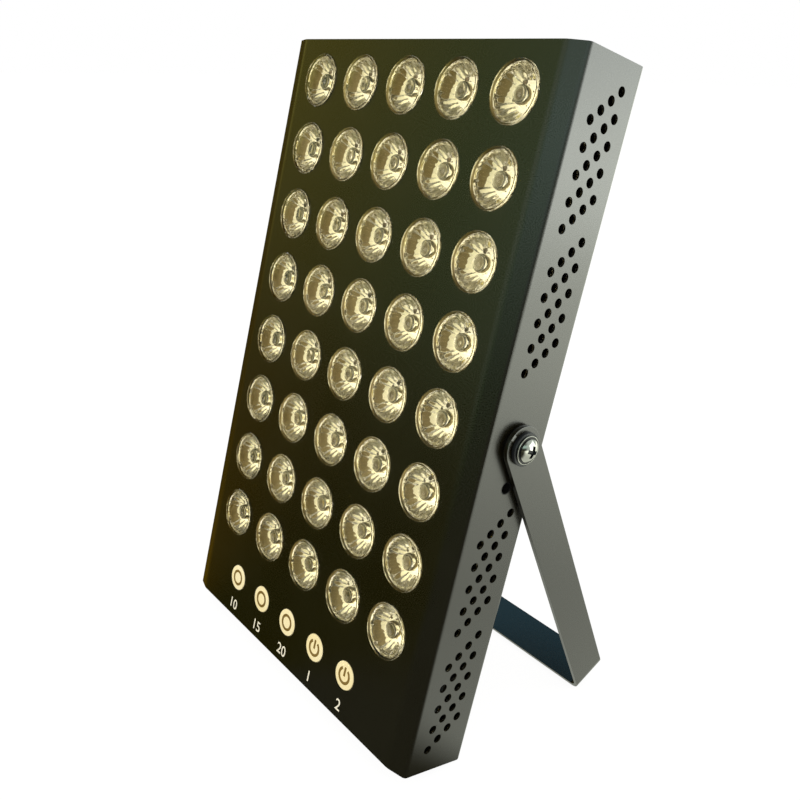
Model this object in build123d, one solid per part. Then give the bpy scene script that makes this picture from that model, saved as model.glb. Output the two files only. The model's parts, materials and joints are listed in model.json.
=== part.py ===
from build123d import *
import os
from math import asin, atan2, cos, degrees, hypot, radians, sin

# Light therapy panel on a folding U-shaped stand.
#
# The panel is drawn upright: X to the right as its user sees it, Y from the
# lit face to the back, Z up from the bottom edge. At the end every piece is
# leaned back onto the stand, with the floor at Z = 0. All lengths are in mm.

# Enclosure: a folded front shell and a folded rear cover of sheet steel
panel_width = 190.0
panel_height = 306.5
shell_depth = 37.0
sheet_thickness = 1.2
slope_width = 9.2
slope_drop = 2.8
slope_bend_radius = 12.0
edge_bend_radius = 2.0
rear_bend_radius = 2.4
side_corner_radius = 2.0
lip_width = 12.0
cover_edge_inset = 3.5
seam_gap = 0.3
overrun = 1.0

# Screws that hold the rear cover to the lips of the front shell
cover_screw_radius = 1.5
cover_screw_length = 6.0
cover_screw_inset = 7.0
cover_screws_per_side = 4
cover_screw_end_distance = 14.0
thread_clearance = 0.05
screw_hole_clearance = 0.2
small_head_radius = 2.8
small_head_height = 1.8

# Side vents: slanting rows of round holes, in groups above and below the pivot
vent_diameter = 4.1
vent_sides = 8
vent_row_count = 5
vent_row_holes = 4
vent_step_forward = 4.63
vent_step_down = 4.47
vent_end_margin = 11.6
vent_group_pitch_share = 5.63
vent_group_slots = (0, 1, 3, 4)

# Lenses: clear collimators, one over each emitter
lens_columns = 5
lens_rows = 8
lens_column_pitch = 33.0
first_row_drop = 19.5
last_row_rise = 56.0
lens_diameter = 25.0
lens_proud = 1.2
lens_rim_height = 3.8
lens_height = 14.0
lens_base_diameter = 11.0
lens_hole_clearance = 0.2

# Emitters, circuit board, thermal pad and heat sink
emitter_size = 3.5
emitter_height = 1.6
emitter_clearance = 0.4
led_board_thickness = 1.6
led_board_side_margin = 13.0
led_board_top_margin = 4.0
led_board_lower_edge = 40.5
thermal_pad_thickness = 0.5
heat_sink_base = 2.5
heat_sink_fan_gap = 3.1
heat_sink_fin_thickness = 1.4
heat_sink_inset = 2.0
fins_per_lens_pitch = 4
fins_across = 20

# Standoffs between the face and the emitter board, and their screws
standoff_radius = 3.0
standoff_column_shares = (-1.5, 1.5)
standoff_row_shares = (0.5, 3.5, 6.5)
standoff_screw_radius = 1.5
standoff_screw_depth = 5.0

# Push buttons with printed ring faces
button_count = 5
button_pitch = 25.2
button_row_shift = -4.0
button_rise = 21.9
button_diameter = 13.6
button_clearance = 0.3
button_proud = 0.2
button_travel = 0.6
button_flange_width = 1.7
button_flange_thickness = 1.2
button_stem_radius = 4.2
button_stem_length = 5.6
button_names = (
    "timer_button_10",
    "timer_button_15",
    "timer_button_20",
    "red_light_button",
    "infrared_button",
)

# Carrier that guides the buttons, and the control board behind it
carrier_length = 150.0
carrier_height = 24.0
carrier_floor = 1.8
carrier_boss_radius = 2.6
carrier_boss_inset = 3.6
switch_size = 6.0
switch_height = 3.4
switch_plunger_radius = 1.7
switch_plunger_height = 0.8
switch_rest_gap = 0.1
control_board_thickness = 1.6
board_screw_radius = 1.1
board_screw_depth = 3.0
board_screw_head_radius = 2.0
board_screw_head_height = 1.3

# Cooling fans on the rear cover, blowing onto the heat sink
fan_size = 80.0
fan_depth = 10.0
fan_spacing = 114.0
fan_screw_spacing = 71.5
fan_corner_radius = 4.0
fan_duct_radius = 38.5
fan_tip_gap = 1.0
fan_hub_radius = 16.5
fan_hub_wall = 1.5
fan_hub_gap = 0.6
fan_base_thickness = 1.5
fan_base_radius = 15.0
fan_strut_width = 4.0
fan_strut_count = 3
fan_shaft_radius = 1.5
fan_bearing_clearance = 0.05
fan_bearing_wall = 2.2
fan_bearing_length = 4.5
fan_blade_count = 7
fan_blade_thickness = 1.2
fan_blade_root_angle = 48.0
fan_blade_tip_angle = 28.0
fan_blade_depth = 5.6
fan_screw_radius = 2.2
fan_screw_length = 8.0
fan_screw_head_radius = 3.6

# Punched grilles in the rear cover in front of the fans
grille_ring_count = 3
grille_slot_width = 3.8
grille_rib_width = 2.4
grille_spoke_width = 5.0
grille_spoke_count = 4

# Power inlet and driver at the lower edge of the rear cover
inlet_centre_x = -60.0
inlet_rise = 24.0
inlet_flange_width = 50.0
inlet_flange_height = 22.5
inlet_flange_thickness = 2.5
inlet_flange_corner = 4.0
inlet_body_width = 27.4
inlet_body_height = 19.6
inlet_front_room = 3.4
inlet_wall = 1.6
inlet_floor = 2.4
inlet_fit_gap = 0.2
inlet_screw_spacing = 40.0
inlet_screw_radius = 1.5
inlet_screw_length = 7.0
inlet_pin_width = 4.0
inlet_pin_thickness = 2.0
inlet_pin_spacing = 14.0
inlet_ground_offset = 4.0
inlet_pin_recess = 7.0
inlet_tab_length = 4.0
driver_length = 96.0
driver_height = 32.0
driver_front_room = 3.9
driver_centre_x = 24.0
driver_rise = 21.0
driver_ear_length = 8.0
driver_ear_thickness = 3.0
driver_corner = 2.0

# Stand: one flat strap bent to a U, and its two pivots
pivot_rise_share = 0.5
stand_rest_angle = 38.5
strap_width = 19.0
strap_thickness = 2.0
strap_bend_radius = 5.0
stand_length = 162.4
pivot_screw_radius = 2.5
pivot_running_clearance = 0.05
pivot_head_radius = 5.0
pivot_head_height = 2.8
pivot_head_shoulder = 0.6
recess_span = 5.4
recess_slot = 1.3
recess_depth = 1.6
spacer_radius = 8.0
spacer_thickness = 1.5
lock_washer_radius = 7.3
lock_washer_thickness = 1.8
flat_washer_radius = 6.2
flat_washer_thickness = 0.8
insert_radius = 4.6
insert_length = 4.5
insert_collar_radius = 2.9
accessory_hole_drop = 18.8

# Places that follow from the sizes above
half_width = panel_width / 2
wall_inside = half_width - sheet_thickness
slope_start = half_width - slope_width
back_inside = shell_depth
panel_depth = shell_depth + sheet_thickness
side_mid_depth = (slope_drop + shell_depth) / 2
pivot_rise = panel_height * pivot_rise_share
vent_slant = vent_step_down * (vent_row_holes - 1)
vent_field_rows = vent_group_pitch_share * vent_group_slots[-1] + vent_row_count - 1
vent_row_pitch = (panel_height - 2 * vent_end_margin - vent_slant) / vent_field_rows
vent_group_pitch = vent_row_pitch * vent_group_pitch_share
first_row_rise = panel_height - first_row_drop
lens_row_pitch = (first_row_rise - last_row_rise) / (lens_rows - 1)
lens_base_y = lens_height - lens_proud
pad_y = lens_base_y + led_board_thickness
heat_sink_y = pad_y + thermal_pad_thickness
fin_root_y = heat_sink_y + heat_sink_base
fan_front_y = back_inside - fan_depth
heat_sink_fin_height = fan_front_y - heat_sink_fan_gap - fin_root_y
column_xs = [
    (i - (lens_columns - 1) / 2) * lens_column_pitch for i in range(lens_columns)
]
row_zs = [first_row_rise - j * lens_row_pitch for j in range(lens_rows)]
fan_mid_rise = (led_board_lower_edge + panel_height - led_board_top_margin) / 2
fan_zs = {
    "upper": fan_mid_rise + fan_spacing / 2,
    "lower": fan_mid_rise - fan_spacing / 2,
}
button_xs = [
    button_row_shift + (i - (button_count - 1) / 2) * button_pitch
    for i in range(button_count)
]


# Helpers for shapes that lie along the panel's axes
def slab(x_span, y_span, z_span):
    """A block between two places on each axis."""
    spans = (x_span, y_span, z_span)
    corner = [low for low, high in spans]
    size = [high - low for low, high in spans]
    return Pos(*corner) * Box(*size, align=(Align.MIN, Align.MIN, Align.MIN))


def rod_y(radius, y_from, y_to, x=0, z=0):
    """A round bar that runs from the face towards the back."""
    bar = Cylinder(radius, y_to - y_from, align=(Align.CENTER, Align.CENTER, Align.MIN))
    return Pos(x, y_from, z) * Rot(X=-90) * bar


def rod_x(radius, x_from, x_to, y=0, z=0):
    """A round bar that runs from left to right."""
    bar = Cylinder(radius, x_to - x_from, align=(Align.CENTER, Align.CENTER, Align.MIN))
    return Pos(x_from, y, z) * Rot(Y=90) * bar


def side_plane(x, y=0, z=0):
    """A plane seen from the right: its X runs to the back and its Y runs up."""
    return Plane(origin=(x, y, z), x_dir=(0, 1, 0), z_dir=(1, 0, 0))


def back_plane(y, x=0, z=0):
    """A plane that faces the lit side: its X runs to the right and its Y runs up."""
    return Plane(origin=(x, y, z), x_dir=(1, 0, 0), z_dir=(0, -1, 0))


def bent_strip(corners, radii, thickness):
    """The section of a sheet bent along the given outer corners."""
    path = FilletPolyline(*corners, radius=radii)
    outline = offset(path, amount=thickness, side=Side.LEFT, closed=True)
    return make_face(outline.edges())


def both_sides(piece):
    """The piece and its mirror image on the other side of the panel."""
    return [piece, mirror(piece, Plane.YZ)]


def machine_screw_y(x, z, head_y, radius, length, head_radius, head_height, outward):
    """A screw along Y. Its head starts at head_y; outward is +1 for a head on the back."""
    if outward > 0:
        head = rod_y(head_radius, head_y, head_y + head_height, x, z)
        shank = rod_y(radius, head_y - length, head_y, x, z)
    else:
        head = rod_y(head_radius, head_y - head_height, head_y, x, z)
        shank = rod_y(radius, head_y, head_y + length, x, z)
    return head + shank


# Front shell: face, sloping edges, vented side walls and rear lips in one sheet
def vent_prisms():
    """Cutters for every vent, each long enough to pass both side walls."""
    first_y = side_mid_depth + vent_step_forward * (vent_row_holes - 1) / 2
    first_z = panel_height - vent_end_margin
    hole = RegularPolygon(vent_diameter / 2, vent_sides)
    reach = half_width + overrun
    prisms = []
    for slot in vent_group_slots:
        for row in range(vent_row_count):
            for step in range(vent_row_holes):
                y = first_y - step * vent_step_forward
                z = (
                    first_z
                    - slot * vent_group_pitch
                    - row * vent_row_pitch
                    - step * vent_step_down
                )
                prisms.append(extrude(side_plane(-reach, y, z) * hole, amount=2 * reach))
    return prisms


def cover_screw_places():
    """Where the rear cover is screwed to the lips."""
    run = panel_height - 2 * cover_screw_end_distance
    step = run / (cover_screws_per_side - 1)
    x = half_width - cover_screw_inset
    heights = [cover_screw_end_distance + i * step for i in range(cover_screws_per_side)]
    return [(side * x, z) for side in (-1, 1) for z in heights]


def standoff_places():
    """Standoffs stand midway between four lenses."""
    return [
        (column * lens_column_pitch, first_row_rise - row * lens_row_pitch)
        for column in standoff_column_shares
        for row in standoff_row_shares
    ]


def make_front_shell():
    lip_end = half_width - lip_width
    corners = [
        (-lip_end, back_inside),
        (-half_width, back_inside),
        (-half_width, slope_drop),
        (-slope_start, 0),
        (slope_start, 0),
        (half_width, slope_drop),
        (half_width, back_inside),
        (lip_end, back_inside),
    ]
    radii = [
        edge_bend_radius,
        edge_bend_radius,
        slope_bend_radius,
        slope_bend_radius,
        edge_bend_radius,
        edge_bend_radius,
    ]
    section = bent_strip(corners, radii, sheet_thickness)
    shell = extrude(section, amount=panel_height, dir=(0, 0, 1))

    # The lips stop short of the rear cover's top and bottom walls
    lip_relief = rear_bend_radius + sheet_thickness
    lip_front = back_inside - edge_bend_radius
    cutters = [
        slab(
            (-wall_inside, wall_inside),
            (lip_front, panel_depth),
            span,
        )
        for span in ((-overrun, lip_relief), (panel_height - lip_relief, panel_height + overrun))
    ]

    lens_hole = lens_diameter / 2 + lens_hole_clearance
    for x in column_xs:
        for z in row_zs:
            cutters.append(rod_y(lens_hole, -overrun, sheet_thickness + overrun, x, z))
    button_hole = button_diameter / 2 + button_clearance
    for x in button_xs:
        cutters.append(
            rod_y(button_hole, -overrun, sheet_thickness + overrun, x, button_rise)
        )
    for x, z in cover_screw_places():
        tapped = cover_screw_radius + thread_clearance
        cutters.append(
            rod_y(tapped, back_inside - sheet_thickness - overrun, panel_depth, x, z)
        )
    reach = half_width + overrun
    for z in (pivot_rise, pivot_rise - accessory_hole_drop):
        cutters.append(
            rod_x(insert_collar_radius + thread_clearance, -reach, reach, side_mid_depth, z)
        )
    shell = shell - cutters - vent_prisms()

    # The rear corners of the side walls are rounded
    outline = extrude(
        side_plane(-half_width) * side_outline(), amount=panel_width, dir=(1, 0, 0)
    )
    return shell & outline


def side_outline():
    """A side wall's outline, with the two rear corners rounded."""
    path = FilletPolyline(
        (0, 0),
        (shell_depth, 0),
        (shell_depth, panel_height),
        (0, panel_height),
        radius=side_corner_radius,
    )
    return make_face(path.edges() + [Line((0, panel_height), (0, 0))])


# Rear cover: back, top and bottom walls in one sheet, with grilles and cut-outs
def grille_slots(centre_z):
    """Ring slots between the hub disc and the fan's duct, crossed by spokes."""
    pitch = grille_slot_width + grille_rib_width
    outer = fan_duct_radius - grille_rib_width / 2
    rings = Sketch()
    for ring in range(grille_ring_count):
        slot_outer = outer - ring * pitch
        rings += Circle(slot_outer) - Circle(slot_outer - grille_slot_width)
    turn = 360 / grille_spoke_count
    for spoke in range(grille_spoke_count):
        arm = Rectangle(fan_size, grille_spoke_width, align=(Align.MIN, Align.CENTER))
        rings -= Rot(Z=turn * (spoke + 0.5)) * arm
    plane = back_plane(panel_depth + overrun, z=centre_z)
    return extrude(plane * rings, amount=sheet_thickness + 2 * overrun)


def fan_screw_places(centre_z):
    half = fan_screw_spacing / 2
    return [(x, centre_z + z) for x in (-half, half) for z in (-half, half)]


def driver_screw_places():
    x = (driver_length + driver_ear_length) / 2
    return [(driver_centre_x + side * x, driver_rise) for side in (-1, 1)]


def inlet_screw_places():
    half = inlet_screw_spacing / 2
    return [(inlet_centre_x + side * half, inlet_rise) for side in (-1, 1)]


def inlet_block(width, height, y_from, y_to):
    """A block on the inlet's axis."""
    return slab(
        (inlet_centre_x - width / 2, inlet_centre_x + width / 2),
        (y_from, y_to),
        (inlet_rise - height / 2, inlet_rise + height / 2),
    )


def make_rear_cover():
    wall_front = sheet_thickness + seam_gap
    corners = [
        (wall_front, panel_height),
        (panel_depth, panel_height),
        (panel_depth, 0),
        (wall_front, 0),
    ]
    path = FilletPolyline(*corners, radius=rear_bend_radius)
    outline = offset(path, amount=sheet_thickness, side=Side.RIGHT, closed=True)
    section = make_face(outline.edges())
    inside = wall_inside - seam_gap
    cover = extrude(side_plane(-inside) * section, amount=2 * inside, dir=(1, 0, 0))

    # The back lies on the lips, a little inside the side walls' outer faces
    cover_edge = half_width - cover_edge_inset
    cutters = both_sides(
        slab(
            (cover_edge, half_width),
            (panel_depth - rear_bend_radius, panel_depth + overrun),
            (-overrun, panel_height + overrun),
        )
    )

    # The top and bottom walls keep clear of the face and its sloping edges
    reach = panel_width
    slope_clear = sheet_thickness + seam_gap
    slope_face = make_face(
        Polyline(
            (-reach, -reach),
            (reach, -reach),
            (reach, slope_drop + slope_clear + (reach - half_width) * slope_drop / slope_width),
            (slope_start, slope_clear),
            (-slope_start, slope_clear),
            (-reach, slope_drop + slope_clear + (reach - half_width) * slope_drop / slope_width),
            close=True,
        )
    )
    cutters.append(
        Pos(0, 0, -overrun)
        * extrude(slope_face, amount=panel_height + 2 * overrun, dir=(0, 0, 1))
    )

    through = (back_inside - overrun, panel_depth + overrun)
    for x, z in cover_screw_places():
        cutters.append(rod_y(cover_screw_radius + screw_hole_clearance, *through, x, z))
    for centre_z in fan_zs.values():
        cutters.append(grille_slots(centre_z))
        for x, z in fan_screw_places(centre_z):
            cutters.append(rod_y(fan_screw_radius + screw_hole_clearance, *through, x, z))
    for x, z in driver_screw_places():
        cutters.append(rod_y(cover_screw_radius + screw_hole_clearance, *through, x, z))
    for x, z in inlet_screw_places():
        cutters.append(rod_y(inlet_screw_radius + screw_hole_clearance, *through, x, z))
    cutters.append(
        inlet_block(
            inlet_body_width + 2 * inlet_fit_gap,
            inlet_body_height + 2 * inlet_fit_gap,
            *through,
        )
    )
    return cover - cutters


# Lenses, emitters and their boards
def make_lens(x, z):
    """A clear collimator: a straight rim and a cone down to the board, over its emitter."""
    rim = lens_diameter / 2
    section = make_face(
        Polyline(
            (0, -lens_proud),
            (rim, -lens_proud),
            (rim, lens_rim_height - lens_proud),
            (lens_base_diameter / 2, lens_base_y),
            (0, lens_base_y),
            close=True,
        )
    )
    half_pocket = emitter_size / 2 + emitter_clearance
    pocket = slab(
        (-half_pocket, half_pocket),
        (lens_base_y - emitter_height - emitter_clearance, lens_base_y + overrun),
        (-half_pocket, half_pocket),
    )
    return Pos(x, 0, z) * (revolve(section, Axis.Y) - pocket)


def make_emitter(x, z):
    half = emitter_size / 2
    return slab(
        (x - half, x + half),
        (lens_base_y - emitter_height, lens_base_y),
        (z - half, z + half),
    )


def emitter_places(kind):
    """Red and infrared emitters alternate like the squares of a chessboard."""
    return [
        (x, z)
        for i, x in enumerate(column_xs)
        for j, z in enumerate(row_zs)
        if (i + j) % 2 == kind
    ]


def make_led_board():
    half = half_width - led_board_side_margin
    board = slab(
        (-half, half),
        (lens_base_y, pad_y),
        (led_board_lower_edge, panel_height - led_board_top_margin),
    )
    return board - standoff_screw_holes(lens_base_y, pad_y)


def standoff_screw_holes(y_from, y_to):
    radius = standoff_screw_radius + thread_clearance
    return [
        rod_y(radius, y_from - overrun, y_to + overrun, x, z) for x, z in standoff_places()
    ]


def heat_sink_span():
    low = led_board_lower_edge + heat_sink_inset
    return (low, panel_height - led_board_top_margin - heat_sink_inset)


def make_thermal_pad():
    half = half_width - led_board_side_margin - heat_sink_inset
    pad = slab((-half, half), (pad_y, heat_sink_y), heat_sink_span())
    return pad - standoff_screw_holes(pad_y, heat_sink_y)


def make_heat_sink():
    half = half_width - led_board_side_margin - heat_sink_inset
    bottom, top = heat_sink_span()
    sink = slab((-half, half), (heat_sink_y, fin_root_y), (bottom, top))
    fin_pitch = lens_column_pitch / fins_per_lens_pitch
    fins = []
    for i in range(fins_across):
        x = (i - (fins_across - 1) / 2) * fin_pitch
        fins.append(
            slab(
                (x - heat_sink_fin_thickness / 2, x + heat_sink_fin_thickness / 2),
                (fin_root_y, fin_root_y + heat_sink_fin_height),
                (bottom, top),
            )
        )
    return sink + fins - standoff_screw_holes(heat_sink_y, fin_root_y)


def make_standoff(x, z):
    post = rod_y(standoff_radius, sheet_thickness, lens_base_y, x, z)
    bore = rod_y(
        standoff_screw_radius + thread_clearance,
        lens_base_y - standoff_screw_depth - overrun,
        lens_base_y + overrun,
        x,
        z,
    )
    return post - bore


def make_heat_sink_screw(x, z):
    length = fin_root_y - lens_base_y + standoff_screw_depth
    return machine_screw_y(
        x, z, fin_root_y, standoff_screw_radius, length, small_head_radius, small_head_height, 1
    )


# Buttons, their carrier and the control board
flange_y = sheet_thickness + button_clearance
flange_back_y = flange_y + button_flange_thickness
pocket_floor_y = flange_back_y + button_travel + button_clearance
carrier_back_y = pocket_floor_y + carrier_floor
stem_end_y = flange_back_y + button_stem_length
plunger_y = stem_end_y + button_travel + switch_rest_gap
switch_front_y = plunger_y + switch_plunger_height
control_board_y = switch_front_y + switch_height
control_board_back_y = control_board_y + control_board_thickness


def make_button(x):
    cap = rod_y(button_diameter / 2, -button_proud, flange_back_y, x, button_rise)
    flange = rod_y(
        button_diameter / 2 + button_flange_width, flange_y, flange_back_y, x, button_rise
    )
    stem = rod_y(button_stem_radius, flange_back_y, stem_end_y, x, button_rise)
    return cap + flange + stem


def carrier_boss_places():
    x = carrier_length / 2 - carrier_boss_inset
    z = carrier_height / 2 - carrier_boss_inset
    return [
        (button_row_shift + sx * x, button_rise + sz * z) for sx in (-1, 1) for sz in (-1, 1)
    ]


def carrier_spans():
    half_length = carrier_length / 2
    half_height = carrier_height / 2
    return (
        (button_row_shift - half_length, button_row_shift + half_length),
        (button_rise - half_height, button_rise + half_height),
    )


def make_button_carrier():
    x_span, z_span = carrier_spans()
    carrier = slab(x_span, (sheet_thickness, carrier_back_y), z_span)
    pocket = button_diameter / 2 + button_flange_width + button_clearance
    for x, z in carrier_boss_places():
        carrier += rod_y(carrier_boss_radius, carrier_back_y, control_board_y, x, z)
    cutters = []
    for x in button_xs:
        cutters.append(rod_y(pocket, 0, pocket_floor_y, x, button_rise))
        cutters.append(
            rod_y(
                button_stem_radius + button_clearance, 0, carrier_back_y + overrun, x, button_rise
            )
        )
    for x, z in carrier_boss_places():
        cutters.append(
            rod_y(
                board_screw_radius + thread_clearance,
                control_board_y - board_screw_depth - overrun,
                control_board_y + overrun,
                x,
                z,
            )
        )
    return carrier - cutters


def make_control_board():
    x_span, z_span = carrier_spans()
    board = slab(x_span, (control_board_y, control_board_back_y), z_span)
    return board - [
        rod_y(
            board_screw_radius + thread_clearance,
            control_board_y - overrun,
            control_board_back_y + overrun,
            x,
            z,
        )
        for x, z in carrier_boss_places()
    ]


def make_tact_switch(x):
    half = switch_size / 2
    body = slab(
        (x - half, x + half),
        (switch_front_y, control_board_y),
        (button_rise - half, button_rise + half),
    )
    return body + rod_y(switch_plunger_radius, plunger_y, switch_front_y, x, button_rise)


def make_board_screw(x, z):
    return machine_screw_y(
        x,
        z,
        control_board_back_y,
        board_screw_radius,
        control_board_thickness + board_screw_depth,
        board_screw_head_radius,
        board_screw_head_height,
        1,
    )


# Fans
hub_top_y = back_inside - fan_hub_gap
bearing_end_y = fan_front_y + fan_bearing_length


def make_fan_frame(centre_z):
    square = RectangleRounded(fan_size, fan_size, fan_corner_radius)
    ring = square - Circle(fan_duct_radius)
    frame = extrude(back_plane(back_inside, z=centre_z) * ring, amount=fan_depth)
    frame -= [
        rod_y(fan_screw_radius + thread_clearance, fan_front_y - overrun, panel_depth, x, z)
        for x, z in fan_screw_places(centre_z)
    ]
    base_back = fan_front_y + fan_base_thickness
    frame += rod_y(fan_base_radius, fan_front_y, base_back, 0, centre_z)
    reach = fan_duct_radius + fan_tip_gap
    for i in range(fan_strut_count):
        strut = slab(
            (0, reach),
            (fan_front_y, base_back),
            (-fan_strut_width / 2, fan_strut_width / 2),
        )
        turned = Pos(0, 0, centre_z) * Rot(Y=90 + i * 360 / fan_strut_count) * strut
        frame += turned
    tube = fan_shaft_radius + fan_bearing_wall
    frame += rod_y(tube, fan_front_y, bearing_end_y, 0, centre_z)
    bore = fan_shaft_radius + fan_bearing_clearance
    return frame - rod_y(bore, fan_front_y - overrun, bearing_end_y + overrun, 0, centre_z)


def blade_section(radius, pitch_angle):
    """A thin bar, tilted to the blade's pitch, facing outwards at this radius."""
    chord = fan_blade_depth / sin(radians(pitch_angle))
    bar = Rectangle(chord, fan_blade_thickness)
    plane = Plane(origin=(radius, 0, 0), x_dir=(0, 0, 1), z_dir=(1, 0, 0))
    return plane * Rot(Z=pitch_angle) * bar


def make_fan_rotor(centre_z):
    floor_y = hub_top_y - fan_hub_wall
    cup_y = fan_front_y + fan_base_thickness + fan_hub_gap
    hub = rod_y(fan_hub_radius, cup_y, hub_top_y, 0, centre_z)
    hub -= rod_y(fan_hub_radius - fan_hub_wall, cup_y - overrun, floor_y, 0, centre_z)
    hub += rod_y(fan_shaft_radius, fan_front_y, floor_y, 0, centre_z)
    tip_radius = fan_duct_radius - fan_tip_gap
    root_radius = fan_hub_radius - fan_hub_wall / 2
    blade = loft(
        [
            blade_section(root_radius, fan_blade_root_angle),
            blade_section(tip_radius, fan_blade_tip_angle),
        ],
        ruled=True,
    )
    mid_y = (cup_y + hub_top_y) / 2
    blades = [
        Pos(0, mid_y, centre_z) * Rot(Y=i * 360 / fan_blade_count) * blade
        for i in range(fan_blade_count)
    ]
    return hub + blades


def make_fan_screw(x, z):
    return machine_screw_y(
        x,
        z,
        panel_depth,
        fan_screw_radius,
        sheet_thickness + fan_screw_length,
        fan_screw_head_radius,
        small_head_height,
        1,
    )


# Power inlet and driver
inlet_face_y = panel_depth + inlet_flange_thickness
inlet_back_y = control_board_back_y + inlet_front_room + inlet_tab_length
driver_front_y = control_board_back_y + board_screw_head_height + driver_front_room
socket_floor_y = inlet_back_y + inlet_floor


def pin_places():
    return [
        (inlet_centre_x - inlet_pin_spacing / 2, inlet_rise),
        (inlet_centre_x + inlet_pin_spacing / 2, inlet_rise),
        (inlet_centre_x, inlet_rise + inlet_ground_offset),
    ]


def make_inlet_pin(x, z):
    return slab(
        (x - inlet_pin_thickness / 2, x + inlet_pin_thickness / 2),
        (inlet_back_y - inlet_tab_length, inlet_face_y - inlet_pin_recess),
        (z - inlet_pin_width / 2, z + inlet_pin_width / 2),
    )


def make_power_inlet():
    flange_outline = RectangleRounded(
        inlet_flange_width, inlet_flange_height, inlet_flange_corner
    )
    plane = back_plane(inlet_face_y, inlet_centre_x, inlet_rise)
    inlet = extrude(plane * flange_outline, amount=inlet_flange_thickness)
    inlet += inlet_block(inlet_body_width, inlet_body_height, inlet_back_y, panel_depth)
    cutters = [
        inlet_block(
            inlet_body_width - 2 * inlet_wall,
            inlet_body_height - 2 * inlet_wall,
            socket_floor_y,
            inlet_face_y + overrun,
        )
    ]
    for x, z in pin_places():
        cutters.append(
            slab(
                (x - inlet_pin_thickness / 2, x + inlet_pin_thickness / 2),
                (inlet_back_y - overrun, socket_floor_y + overrun),
                (z - inlet_pin_width / 2, z + inlet_pin_width / 2),
            )
        )
    for x, z in inlet_screw_places():
        radius = inlet_screw_radius + thread_clearance
        cutters.append(rod_y(radius, inlet_back_y, inlet_face_y + overrun, x, z))
    return inlet - cutters


def make_inlet_screw(x, z):
    return machine_screw_y(
        x,
        z,
        inlet_face_y,
        inlet_screw_radius,
        inlet_screw_length,
        small_head_radius,
        small_head_height,
        1,
    )


def make_led_driver():
    half = driver_length / 2
    z_span = (driver_rise - driver_height / 2, driver_rise + driver_height / 2)
    case = slab(
        (driver_centre_x - half, driver_centre_x + half),
        (driver_front_y, back_inside),
        z_span,
    )
    case = fillet(case.edges().filter_by(Axis.Y), driver_corner)
    ears = slab(
        (driver_centre_x - half - driver_ear_length, driver_centre_x + half + driver_ear_length),
        (back_inside - driver_ear_thickness, back_inside),
        (driver_rise - driver_ear_length, driver_rise + driver_ear_length),
    )
    return case + ears - [
        rod_y(
            cover_screw_radius + thread_clearance,
            back_inside - driver_ear_thickness - overrun,
            panel_depth,
            x,
            z,
        )
        for x, z in driver_screw_places()
    ]


def make_cover_screw(x, z):
    return machine_screw_y(
        x,
        z,
        panel_depth,
        cover_screw_radius,
        cover_screw_length,
        small_head_radius,
        small_head_height,
        1,
    )


# Pivots, from the wall outwards: insert, spacer, strap, lock washer, washer, screw
strap_inside = half_width + spacer_thickness
strap_outside = strap_inside + strap_thickness
lock_washer_outside = strap_outside + lock_washer_thickness
head_seat = lock_washer_outside + flat_washer_thickness


def ring_x(outer, inner, x_from, x_to, z):
    ring = rod_x(outer, x_from, x_to, side_mid_depth, z)
    return ring - rod_x(inner, x_from - overrun, x_to + overrun, side_mid_depth, z)


def make_threaded_insert(z):
    """A clinch nut: a body inside the wall and a collar through it."""
    body = rod_x(insert_radius, wall_inside - insert_length, wall_inside, side_mid_depth, z)
    collar = rod_x(insert_collar_radius, wall_inside, half_width, side_mid_depth, z)
    bore = rod_x(
        pivot_screw_radius + thread_clearance,
        wall_inside - insert_length - overrun,
        half_width + overrun,
        side_mid_depth,
        z,
    )
    return body + collar - bore


def dome_section(radius, shoulder, height):
    """Half the outline of a head: a straight shoulder, then a dome level at its top."""
    rise = height - shoulder
    dome_radius = (radius**2 + rise**2) / (2 * rise)
    half_turn = asin(radius / dome_radius) / 2
    middle = (
        dome_radius * sin(half_turn),
        height - dome_radius + dome_radius * cos(half_turn),
    )
    return make_face(
        [
            Line((0, 0), (radius, 0)),
            Line((radius, 0), (radius, shoulder)),
            ThreePointArc((radius, shoulder), middle, (0, height)),
            Line((0, height), (0, 0)),
        ]
    )


def make_pivot_screw():
    """A pan-headed screw with a cross recess, along X through the strap."""
    section = dome_section(pivot_head_radius, pivot_head_shoulder, pivot_head_height)
    head = revolve(section, Axis.Y)
    slot = Box(recess_span, recess_depth, recess_slot, align=(Align.CENTER, Align.MAX, Align.CENTER))
    recess = Pos(0, pivot_head_height, 0) * (slot + Rot(Y=90) * slot)
    head = head - recess
    placed = Pos(head_seat, side_mid_depth, pivot_rise) * Rot(Z=-90) * head
    tip = wall_inside - insert_length
    shank = rod_x(pivot_screw_radius, tip, head_seat, side_mid_depth, pivot_rise)
    return placed + shank


def make_stand():
    """The strap in its own frame: pivot axis on X through zero, arms straight down."""
    reach = strap_width
    corners = [
        (-strap_outside, reach),
        (-strap_outside, -stand_length),
        (strap_outside, -stand_length),
        (strap_outside, reach),
    ]
    section = bent_strip(corners, strap_bend_radius, strap_thickness)
    half = strap_width / 2
    strap = extrude(Plane.XZ * section, amount=half, both=True)
    allowed = slab(
        (-strap_outside, strap_outside), (-half, half), (-stand_length, 0)
    ) + rod_x(half, -strap_outside, strap_outside)
    bore = pivot_screw_radius + pivot_running_clearance
    return (strap & allowed) - rod_x(bore, -strap_outside - overrun, strap_outside + overrun)


# Rest pose: the rear cover's lower bend and the strap's front edge touch the floor
bend_y = panel_depth - rear_bend_radius
bend_z = rear_bend_radius
stand_swing = radians(stand_rest_angle)


def strap_corner(side):
    """The outer edge of the strap's base, to its front (-1) or its back (+1)."""
    y = side * strap_width / 2
    return (
        side_mid_depth + y * cos(stand_swing) + stand_length * sin(stand_swing),
        pivot_rise + y * sin(stand_swing) - stand_length * cos(stand_swing),
    )


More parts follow.
